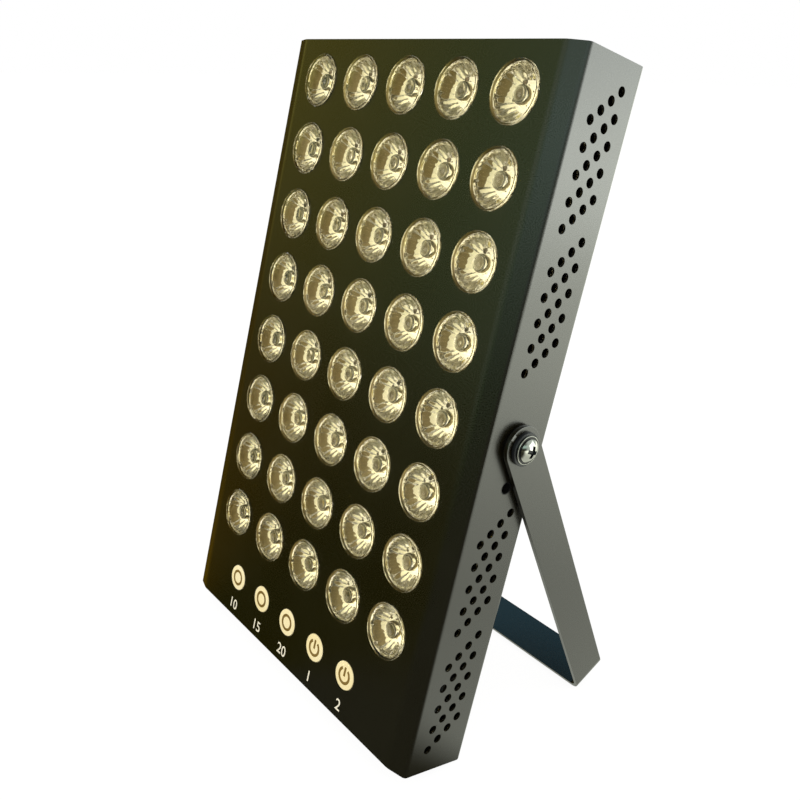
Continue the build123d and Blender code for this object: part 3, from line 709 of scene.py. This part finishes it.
def cut(body, tool):
    """Cut one drawn mesh with another, as a punch cuts sheet, and return what is left."""
    whole, punch = drawn_object("whole", body), drawn_object("punch", tool)
    modifier = whole.modifiers.new("cut", "BOOLEAN")
    modifier.operation = "DIFFERENCE"
    modifier.solver = "EXACT"
    modifier.object = punch
    bpy.context.view_layer.update()
    left = bmesh.new()
    left.from_object(whole, bpy.context.evaluated_depsgraph_get())
    for thing in (whole, punch):
        mesh = thing.data
        bpy.data.objects.remove(thing)
        bpy.data.meshes.remove(mesh)
    return left


def make_piece(bm, name, look, body, place=LEAN):
    """Give a drawn mesh its place, its finish and its body."""
    soften(bm)
    bm.transform(place)
    piece = drawn_object(name, bm)
    piece.data.materials.append(finishes[look])
    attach(piece, body)
    print(name, len(piece.data.polygons), "faces")
    return piece


def frame_copy(name):
    """A merged copy of a node of the frame, in millimetres on the upright panel."""
    bm = bmesh.new()
    bm.from_mesh(nodes[name].data)
    bm.transform(UPRIGHT @ nodes[name].matrix_world)
    bmesh.ops.remove_doubles(bm, verts=bm.verts, dist=facet_weld)
    bmesh.ops.dissolve_limit(bm, angle_limit=facet_angle, verts=bm.verts, edges=bm.edges)
    return bm


def body_of_node(name):
    if name == "stand_strap":
        return "stand"
    return name if name.endswith("_rotor") else "panel"


def islands(name):
    """The middle of each solid in a node: (x, z, front, back) on the upright panel."""
    bm = frame_copy(name)
    left = set(bm.verts)
    found = []
    while left:
        wave = [left.pop()]
        island = []
        while wave:
            vert = wave.pop()
            island.append(vert.co.copy())
            for edge in vert.link_edges:
                other = edge.other_vert(vert)
                if other in left:
                    left.discard(other)
                    wave.append(other)
        xs, ys, zs = zip(*island)
        found.append(((min(xs) + max(xs)) / 2, (min(zs) + max(zs)) / 2, min(ys), max(ys)))
    bm.free()
    return sorted(found)


# %% [markdown]
# ## Front shell
#
# The face, its two sloping edges, the side walls and the rear lips are one sheet of steel, bent on
# a brake. So its section is drawn as a line of bends with the sheet's thickness, pulled to the
# panel's height, and every hole is punched with one joined tool. The vents are round here.

# %% Section of the bent sheet
bend_steps = 6
lip_width = 12.0
side_bend = 2.0
slope_bend = 12.0


def inward(line):
    return Vector((-line.y, line.x))


def bend_points(corner, before, after, radius):
    """Outer and inner points round one bend."""
    arriving, leaving = (corner - before).normalized(), (after - corner).normalized()
    turn = arriving.angle(leaving)
    centre = corner - arriving * radius * tan(turn / 2) + inward(arriving) * radius
    pairs = []
    for step in range(bend_steps + 1):
        normal = inward(arriving).slerp(inward(leaving), step / bend_steps)
        pairs.append((centre - normal * radius, centre - normal * (radius - sheet_thickness)))
    return pairs


def shell_section():
    """The closed outline of the bent sheet, seen from above."""
    lip_end, slope_start = half_width - lip_width, half_width - slope_width
    left = [(-lip_end, shell_depth), (-half_width, shell_depth), (-half_width, slope_drop)]
    left.append((-slope_start, 0.0))
    corners = [Vector(point) for point in left + [(-x, y) for x, y in reversed(left)]]
    radii = [side_bend, side_bend, slope_bend, slope_bend, side_bend, side_bend]
    lip_inside = Vector((0, -sheet_thickness))
    pairs = [(corners[0], corners[0] + lip_inside)]
    for index, radius in enumerate(radii, start=1):
        pairs += bend_points(corners[index], corners[index - 1], corners[index + 1], radius)
    pairs.append((corners[-1], corners[-1] + lip_inside))
    return [outer for outer, inner in pairs] + [inner for outer, inner in reversed(pairs)]


# %% Places on the face and the walls
lens_pitch = 33.0
lens_radius = 12.5
first_row_rise = panel_height - 19.5
column_xs = [(i - 2) * lens_pitch for i in range(5)]
row_zs = [first_row_rise - j * lens_pitch for j in range(8)]
button_pitch = 25.2
button_shift = 4.0
button_rise = 21.9
button_radius = 6.8
button_xs = [(i - 2) * button_pitch - button_shift for i in range(5)]
accessory_drop = 18.8
insert_radius = 2.95

vent_radius = 2.05
vent_rows = 5
vent_steps = 4
vent_forward = 4.63
vent_down = 4.47
vent_margin = 11.6
vent_slots = (0, 1, 3, 4)
vent_group_share = 5.63
vent_field = panel_height - 2 * vent_margin - vent_down * (vent_steps - 1)
vent_pitch = vent_field / (vent_group_share * vent_slots[-1] + vent_rows - 1)


def vent_places():
    """The (depth, height) of every vent: groups of rows that slant down towards the front."""
    for slot in vent_slots:
        for row in range(vent_rows):
            for step in range(vent_steps):
                forward = vent_forward * ((vent_steps - 1) / 2 - step)
                drop = (slot * vent_group_share + row) * vent_pitch + step * vent_down
                yield pivot_depth + forward, panel_height - vent_margin - drop


# %% Punches for the shell
INTO_WALL = Matrix.Rotation(pi / 2, 4, "Z")
lens_clearance = 0.2
button_clearance = 0.3
cover_screw_hole = 1.55
punch_before, punch_past = -2, 3
across_reach = 100


def rod(bm, radius, low, high, place, segments):
    """Add a round punch along Y at its place."""
    tool = turned(rectangle(0, radius, low, high), segments)
    add_copy(bm, tool, place)
    tool.free()


def shell_punch():
    """One tool with every round hole of the shell."""
    tool = bmesh.new()
    for x in column_xs:
        for z in row_zs:
            rod(tool, lens_radius + lens_clearance, punch_before, punch_past, on_face(x, z), 48)
    for x in button_xs:
        place = on_face(x, button_rise)
        rod(tool, button_radius + button_clearance, punch_before, punch_past, place, 40)
    low, high = shell_depth - punch_past, shell_depth + punch_past
    for x, z, *_ in islands("rear_cover_screws"):
        rod(tool, cover_screw_hole, low, high, on_face(x, z), 16)
    for y, z in vent_places():
        rod(tool, vent_radius, -across_reach, across_reach, on_face(0, z, y) @ INTO_WALL, 20)
    for z in (pivot_rise, pivot_rise - accessory_drop):
        place = on_face(0, z, pivot_depth) @ INTO_WALL
        rod(tool, insert_radius, -across_reach, across_reach, place, 24)
    return tool


# %% Tools for the lips and the rear corners
lip_relief = 3.6
lip_cut_depth = 2.0
past_the_end = 5.0
rear_corner = 2.0
overlap = 1


def lip_tool():
    """Two blocks that shorten the lips at the top and the bottom."""
    tool = bmesh.new()
    wide, front = half_width - sheet_thickness, shell_depth - lip_cut_depth
    back = shell_depth + punch_past
    outline = rectangle(-wide, wide, front, back)
    at_bottom = (-past_the_end, lip_relief)
    at_top = (panel_height - lip_relief, panel_height + past_the_end)
    for low, high in (at_bottom, at_top):
        block = pulled_up(outline, low, high)
        add_copy(tool, block, Matrix.Identity(4))
        block.free()
    return tool


# An outline's (x, y) become (depth, height), and its pull runs across the panel
ACROSS = Matrix(((0, 0, 1, 0), (1, 0, 0, 0), (0, 1, 0, 0), (0, 0, 0, 1)))


def corner_tool():
    """Two bars that round the rear corners of the side walls."""
    tool = bmesh.new()
    for level, up in ((0.0, -1), (panel_height, 1)):
        outline = [(shell_depth + overlap, level + up * overlap)]
        outline.append((shell_depth + overlap, level - up * rear_corner))
        for step in range(bend_steps + 1):
            turn = pi / 2 * step / bend_steps
            y = shell_depth - rear_corner * (1 - cos(turn))
            outline.append((y, level - up * rear_corner * (1 - sin(turn))))
        outline.append((shell_depth - rear_corner, level + up * overlap))
        bar = pulled_up(outline, -across_reach, across_reach)
        add_copy(tool, bar, ACROSS)
        bar.free()
    bmesh.ops.recalc_face_normals(tool, faces=tool.faces)
    return tool


# %% Front shell
sheet_edge = 0.12

shell = pulled_up(shell_section(), 0.0, panel_height)
shell = cut(shell, lip_tool())
shell = cut(shell, corner_tool())
shell = cut(shell, shell_punch())
soft_edges(shell, sheet_edge)
front_shell = make_piece(shell, "folded_shell", "black_paint", "panel")
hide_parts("front_shell")

# %% [markdown]
# ## Strap, rear cover and the plain housings
#
# These pieces already have their true form in the frame. What they lack is the small radius that
# a press or a mould leaves on every edge, which is what catches the light. So each is copied, its
# facets are merged, and its sharp edges get a small bevel.

# %% Softened copies
for name, width in (
    ("stand_strap", 0.35),
    ("rear_cover", sheet_edge),
    ("pivot_spacers", 0.2),
    ("power_inlet", 0.25),
    ("upper_fan_frame", 0.25),
    ("lower_fan_frame", 0.25),
    ("upper_fan_rotor", 0.12),
    ("lower_fan_rotor", 0.12),
    ("led_driver", 0.3),
):
    bm = frame_copy(name)
    soft_edges(bm, width)
    slot = slot_of[name]
    piece = make_piece(bm, f"soft_{name}", slot, body_of_node(name))
    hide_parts(name)


# %% [markdown]
# ## Screws and washers
#
# Each pivot holds the strap between a spacer and two washers, under a pan-headed machine screw.
# The head is turned, then a driver's cross recess is punched into it. The back is closed by small
# screws of the same kind, so one function makes them all. The recess gets a dark finish of its
# own, because little light comes out of it.

# %% Cross-recessed screw
thread_chamfer = 0.5
recess_turn = 0.12
recess_tip_span_share = 0.6
recess_tip_slot_share = 0.85
recess_reach_share = 0.6
recess_rim = 0.05


def dome(radius, shoulder, height, steps=10):
    """The half outline of a domed head: (radius, height) from its rim to its top."""
    rise = height - shoulder
    big = (radius**2 + rise**2) / (2 * rise)
    whole = asin(radius / big)
    turns = [whole * (1 - step / steps) for step in range(steps + 1)]
    return [(big * sin(turn), height - big + big * cos(turn)) for turn in turns]


def recess_wedge(height, span, slot, depth, turn):
    """One arm of the cross: a bar through the head's top that narrows towards its tip."""
    wedge = bmesh.new()
    bmesh.ops.create_cube(wedge, size=1.0)
    bmesh.ops.scale(wedge, vec=(span, 2 * depth, slot), verts=wedge.verts)
    for vert in wedge.verts:
        if vert.co.y > 0:
            vert.co.x *= recess_tip_span_share
            vert.co.z *= recess_tip_slot_share
    wedge.transform(on_face(0, 0, -height) @ Matrix.Rotation(turn + recess_turn, 4, "Y"))
    return wedge


def cross_screw(radius, shoulder, height, shank, length, span, slot, depth):
    """A pan-headed screw whose head faces -Y, with the head's seat at zero."""
    outline = [(r, -h) for r, h in reversed(dome(radius, shoulder, height))]
    outline += [(radius, 0.0), (shank, 0.0), (shank, length - thread_chamfer)]
    outline += [(shank - thread_chamfer, length), (0.0, length)]
    body = turned(outline, 48)
    for turn in (0, pi / 2):
        body = cut(body, recess_wedge(height, span, slot, depth, turn))
    # Faces inside the cross recess take the second finish, which paints the recess's shade.
    for face in body.faces:
        middle = face.calc_center_median()
        reach = off_axis(middle)
        skin = -height + reach**2 * (height - shoulder) / radius**2
        if reach < span * recess_reach_share and skin + recess_rim < middle.y < -shoulder:
            face.material_index = 1
    return body


# %% Pivot washers and screws
spacer_thickness = 1.5
strap_thickness = 2.0
washer_bore = 2.55
lock_washer_radius = 7.3
lock_washer_thickness = 1.8
flat_washer_radius = 6.2
flat_washer_thickness = 0.8
bright_rim = 0.3
insert_reach = 5.7
strap_outside = spacer_thickness + strap_thickness
lock_outside = strap_outside + lock_washer_thickness
head_seat = lock_outside + flat_washer_thickness


def ring(inner, outer, front, back, edge):
    """A turned ring with broken outer edges."""
    outline = [(inner, front), (outer - edge, front), (outer, front + edge)]
    outline += [(outer, back - edge), (outer - edge, back), (inner, back), (inner, front)]
    return turned(outline, 48)


def at_wall(side):
    """The pivot's place on a side wall, where -Y of the drawn piece points away from the panel."""
    spot = Matrix.Translation((side * half_width, pivot_depth, pivot_rise))
    return spot @ Matrix.Rotation(side * pi / 2, 4, "Z")


def on_both_sides(drawn, name, look, node):
    whole = bmesh.new()
    for side in (-1, 1):
        add_copy(whole, drawn, at_wall(side))
    drawn.free()
    piece = make_piece(whole, name, look, "panel")
    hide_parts(node)
    return piece


# One flat washer, drawn as a thin chrome rim round a near-black face: the dark face is painted shade from the
# screw head over it.
rim_start = flat_washer_radius - bright_rim
thick = ring(washer_bore, lock_washer_radius, -lock_outside, -strap_outside, 0.25)
on_both_sides(thick, "thick_washers", "washer_rubber", "pivot_lock_washers")
dark = ring(washer_bore, rim_start, -head_seat, -lock_outside, 0.1)
on_both_sides(dark, "washer_faces_painted_shade", "black_screws", "pivot_flat_washers")
bright = ring(rim_start, flat_washer_radius, -head_seat, -lock_outside, 0.12)
on_both_sides(bright, "bright_washer_edges", "pivot_chrome", "pivot_flat_washers")

pivot_screw = cross_screw(
    radius=4.95,
    shoulder=0.6,
    height=2.75,
    shank=2.5,
    length=head_seat + insert_reach,
    span=7.2,
    slot=1.8,
    depth=1.7,
)
bmesh.ops.translate(pivot_screw, verts=pivot_screw.verts, vec=(0, -head_seat, 0))
heads = on_both_sides(pivot_screw, "pan_head_screws", "pivot_chrome", "pivot_screws")
# The second finish paints shade into the cross recesses.
heads.data.materials.append(finishes["washer_rubber"])

# %% Small screws on the back
OUTWARD = Matrix.Rotation(pi, 4, "Z")
small_head = 1.8
small_shoulder = 0.5
small_span_share = 1.15
# Radius of the head and of the shank
machine_screw, fan_screw = (2.8, 1.5), (3.6, 2.2)
for node, (radius, shank) in {
    "rear_cover_screws": machine_screw,
    "driver_screws": machine_screw,
    "inlet_screws": machine_screw,
    "upper_fan_screws": fan_screw,
    "lower_fan_screws": fan_screw,
}.items():
    places = islands(node)
    front, back = places[0][2:]
    small = cross_screw(
        radius,
        shoulder=small_shoulder,
        height=small_head,
        shank=shank,
        length=back - small_head - front,
        span=radius * small_span_share,
        slot=0.8,
        depth=1.0,
    )
    whole = bmesh.new()
    for x, z, front, back in places:
        add_copy(whole, small, on_face(x, z, back - small_head) @ OUTWARD)
    small.free()
    piece = make_piece(whole, f"cross_{node}", "black_screws", "panel")
    # The second finish paints shade into the cross recesses.
    piece.data.materials.append(finishes["washer_rubber"])
    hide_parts(node)

# %% [markdown]
# ## Lenses
#
# Each lens is a collimator: a flat front with a lower flange round it, a curved cone behind that
# mirrors light by total reflection, and a cavity with a domed ceiling round the emitter. All of
# these show in the photograph, so the whole section is turned, cavity included.

# %% Section of a lens
lens_front = -1.2
lens_flat_radius = 11.5
lens_shoulder = (11.75, 0.12)
lens_wall_foot = 11.85
flange_front = -0.6
flange_edge = 0.4
lens_step = 2.6
lens_base = 12.8
lens_cone_radius = 11.3
lens_base_radius = 5.5
lens_cone_power = 1.45
cone_steps = 12
cavity_radius = 3.9
cavity_taper = 0.4
cavity_ceiling = 6.4
ceiling_foot = 0.3
ceiling_inset = 0.6
ceiling_rise = 1.4
ceiling_steps = 8


def lens_outline():
    """The lens's half section: front, flange, cone, base ring, cavity wall and domed ceiling."""
    shoulder_radius, shoulder_drop = lens_shoulder
    outline = [(0.0, lens_front), (lens_flat_radius, lens_front)]
    outline += [(shoulder_radius, lens_front + shoulder_drop), (lens_wall_foot, flange_front)]
    outline.append((lens_radius - flange_edge, flange_front))
    outline += quarter_round(lens_radius, flange_front, flange_edge, flange_edge)
    outline.append((lens_radius, lens_step))
    for i in range(cone_steps + 1):
        share = i / cone_steps
        narrowing = (lens_cone_radius - lens_base_radius) * share**lens_cone_power
        depth = lens_step + (lens_base - lens_step) * share
        outline.append((lens_cone_radius - narrowing, depth))
    outline.append((cavity_radius, lens_base))
    outline.append((cavity_radius - cavity_taper, cavity_ceiling + ceiling_foot))
    for i in range(ceiling_steps + 1):
        turn = (1 - i / ceiling_steps) * pi / 2
        radius = (cavity_radius - ceiling_inset) * sin(turn)
        outline.append((radius, cavity_ceiling + ceiling_rise * cos(turn)))
    return outline


# %% Lens rows
flute_count = 22
flute_share = 0.045
flute_start = 0.5
flute_end = 0.1


def flute(bm):
    """Press shallow flutes into the cone, which break the light up into streaks."""
    first, last = lens_step + flute_start, lens_base - flute_end
    for vert in bm.verts:
        if first < vert.co.y < last and off_axis(vert.co) > lens_base_radius:
            deep = (vert.co.y - lens_step) / (lens_base - lens_step)
            wave = 1 + flute_share * deep * sin(flute_count * atan2(vert.co.z, vert.co.x))
            vert.co.x *= wave
            vert.co.z *= wave


one_lens = turned(lens_outline(), 96)
flute(one_lens)
for row, z in enumerate(row_zs, start=1):
    bm = bmesh.new()
    for x in column_xs:
        add_copy(bm, one_lens, on_face(x, z))
    name = f"lens_optics_row_{row}"
    piece = make_piece(bm, name, "lens_plastic", "panel")
    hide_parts(f"lens_row_{row}")
one_lens.free()

# %% [markdown]
# ## Emitters
#
# Under each lens sits a small ceramic package with a silicone dome on it, soldered to the board.
# Round it lies a bright white disc with a wavy edge: painted light, the pool that the lens gathers
# onto the board. The lens magnifies that spot, so it carries the package, its dome, the disc
# and the solder joints round it.

# %% Emitter packages and domes
package_half = 1.75
package_height = 1.0
package_edge = 0.12
package_front = lens_base - package_height
dome_foot = 1.6
dome_foot_height = 0.08


def on_board(outline, height, edge=0.0):
    """An outline that stands up from the board towards the face."""
    block = pulled_up(outline, 0.0, height)
    if edge:
        soft_edges(block, edge)
    block.transform(on_face(0, 0, lens_base) @ TIPPED)
    return block


def emitter_package():
    outline = rectangle(-package_half, package_half, -package_half, package_half)
    return on_board(outline, package_height, package_edge)


def emitter_dome():
    points = dome(radius=1.35, shoulder=0.1, height=0.6, steps=5)
    outline = [(r, package_front - h) for r, h in reversed(points)]
    outline += [(dome_foot, package_front - dome_foot_height), (dome_foot, package_front)]
    outline.append((0.0, package_front))
    return turned(outline, 20)


package, emitter_cap = emitter_package(), emitter_dome()
for node in ("red_emitters", "infrared_emitters"):
    packages, caps = bmesh.new(), bmesh.new()
    for x, z, *_ in islands(node):
        add_copy(packages, package, on_face(x, z))
        add_copy(caps, emitter_cap, on_face(x, z))
    name = f"packages_of_{node}"
    piece = make_piece(packages, name, "emitter_package", "panel")
    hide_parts(node)
    make_piece(caps, f"domes_of_{node}", "emitter_silicone", "panel")
package.free()
emitter_cap.free()

# %% Painted light spots and solder joints
spot_radius = 8.3
# The spot's edge is uneven, as the edge of the lit zone in each lens is: each wave has a height and a count round
# the spot
spot_waves = ((0.5, 6), (0.25, 11))
spot_corners = 72
ink_thickness = 0.04
# A solder joint's half section, as (radius, height above the board)
solder_section = ((0, 0.3), (0.35, 0.24), (0.5, 0.04), (0, 0))
# The joints round each emitter, as (x, z, size): the package's four corners, then the loose ones,
# whose dark finish also paints the specks of shade seen through the lens
solder_places = [(-2.6, -0.6, 1), (-2.6, 0.6, 1), (2.6, -0.6, 1), (2.6, 0.6, 1)]
solder_places += [(-0.5, 3.3, 1.9), (-2.3, 4.6, 2.4), (4.6, 3.4, 1.3), (-4.8, 2.2, 1.2)]
solder_places += [(-1.5, -3.1, 1), (-5.6, -1.4, 1.2), (5.4, -2.2, 1), (1.8, -5.6, 1.4)]


# A bright disc under each lens that paints the pool of light the lens gathers onto the board.
def painted_light_spot():
    outline = []
    for step in range(spot_corners):
        turn = 2 * pi * step / spot_corners
        radius = spot_radius
        for height, count in spot_waves:
            radius += height * sin(count * turn)
        outline.append((radius * cos(turn), radius * sin(turn)))
    return on_board(outline, ink_thickness)


one_spot = painted_light_spot()
one_joint = turned([(radius, lens_base - height) for radius, height in solder_section], 8)
spots, solder_joints = bmesh.new(), bmesh.new()
for x in column_xs:
    for z in row_zs:
        add_copy(spots, one_spot, on_face(x, z))
        for dx, dz, size in solder_places:
            wider = Matrix.Diagonal((size, 1, size, 1))
            add_copy(solder_joints, one_joint, on_face(x + dx, z + dz) @ wider)
make_piece(spots, "painted_light_spots", "reflector_ink", "panel")
make_piece(solder_joints, "solder_joints", "solder", "panel")
one_spot.free()
one_joint.free()

# %% [markdown]
# ## Buttons and their signs
#
# A button is a moulded cap with a wide flange that keeps it in the panel. Its face carries a
# printed ring, and the last two have the common on and off sign. Under the buttons stand plain
# numbers: minutes under the first three, and one and two under the light channels.

# %% Section of a button
button_front = -0.2
cap_flat_radius = 2.0
cap_crown = (6.3, 0.02)
cap_edge = 0.45
cap_edge_drop = 0.43
flange_radius = 8.5
flange_depth = 1.5
flange_back = 2.7
stem_radius = 4.2
stem_back = 8.3


def button_outline():
    crown_radius, crown_drop = cap_crown
    outline = [(0.0, button_front), (cap_flat_radius, button_front)]
    outline.append((crown_radius, button_front + crown_drop))
    outline += quarter_round(button_radius, button_front, cap_edge, cap_edge_drop)
    outline += [(button_radius, flange_depth), (flange_radius, flange_depth)]
    outline += [(flange_radius, flange_back), (stem_radius, flange_back)]
    return outline + [(stem_radius, stem_back), (0.0, stem_back)]


# %% Printed signs
print_thickness = 0.03
sign_inner = 2.95
sign_outer = 4.35
sign_gap_start = radians(32)
sign_sweep = radians(296)
bar_width = 1.35
bar_foot = -0.4
bar_top = 4.3


def flat_arc(bm, start, sweep, steps=48):
    """A thin printed arc on a button's face, its start measured from the top."""
    outline = rectangle(sign_inner, sign_outer, button_front - print_thickness, button_front)
    sections = []
    for step in range(steps + 1):
        turn = start + sweep * step / steps
        places = [(radius * sin(turn), depth, radius * cos(turn)) for radius, depth in outline]
        sections.append([bm.verts.new(place) for place in places])
    for first, second in zip(sections, sections[1:]):
        for i in range(4):
            bm.faces.new((first[i], first[(i + 1) % 4], second[(i + 1) % 4], second[i]))
    if sweep < 2 * pi:
        bm.faces.new(sections[0])
        bm.faces.new(list(reversed(sections[-1])))
    close_seam(bm)


def print_bar(bm):
    """The upright bar of the on and off sign."""
    half = bar_width / 2
    bar = pulled_up(rectangle(-half, half, bar_foot, bar_top), 0.0, print_thickness)
    add_copy(bm, bar, on_face(0, 0, button_front) @ TIPPED)
    bar.free()


# %% Button caps
button_names = [f"timer_button_{minutes}" for minutes in (10, 15, 20)]
button_names += ["red_light_button", "infrared_button"]
for name, x in zip(button_names, button_xs):
    place = LEAN @ on_face(x, button_rise)
    cap, slot = turned(button_outline()), "button_plastic"
    piece = make_piece(cap, f"cap_of_{name}", slot, name, place)
    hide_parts(name)
    sign = bmesh.new()
    if name.startswith("timer"):
        flat_arc(sign, 0.0, 2 * pi)
    else:
        flat_arc(sign, sign_gap_start, sign_sweep)
        print_bar(sign)
    make_piece(sign, f"sign_on_{name}", "button_ink", name, place)

# %% Numbers under the buttons
number_height = 5.6
number_foot = 3.7
number_stroke_gain = 0.06
font_share = 0.70


def make_number(text, x):
    """A plain number as a thin mesh, standing upright on the face."""
    curve = bpy.data.curves.new("number", "FONT")
    curve.body = text
    curve.size = number_height / font_share
    curve.align_x = "CENTER"
    curve.extrude = print_thickness
    curve.offset = number_stroke_gain
    words = bpy.data.objects.new("number", curve)
    bpy.context.scene.collection.objects.link(words)
    bpy.context.view_layer.update()
    seen = words.evaluated_get(bpy.context.evaluated_depsgraph_get())
    mesh = bpy.data.meshes.new_from_object(seen)
    bpy.data.objects.remove(words)
    bm = bmesh.new()
    bm.from_mesh(mesh)
    bpy.data.meshes.remove(mesh)
    bmesh.ops.remove_doubles(bm, verts=bm.verts, dist=seam)
    place = LEAN @ on_face(x, number_foot) @ TIPPED
    make_piece(bm, f"number_{text}", "number_ink", "panel", place)


for text, x in zip(("10", "15", "20", "1", "2"), button_xs):
    make_number(text, x)
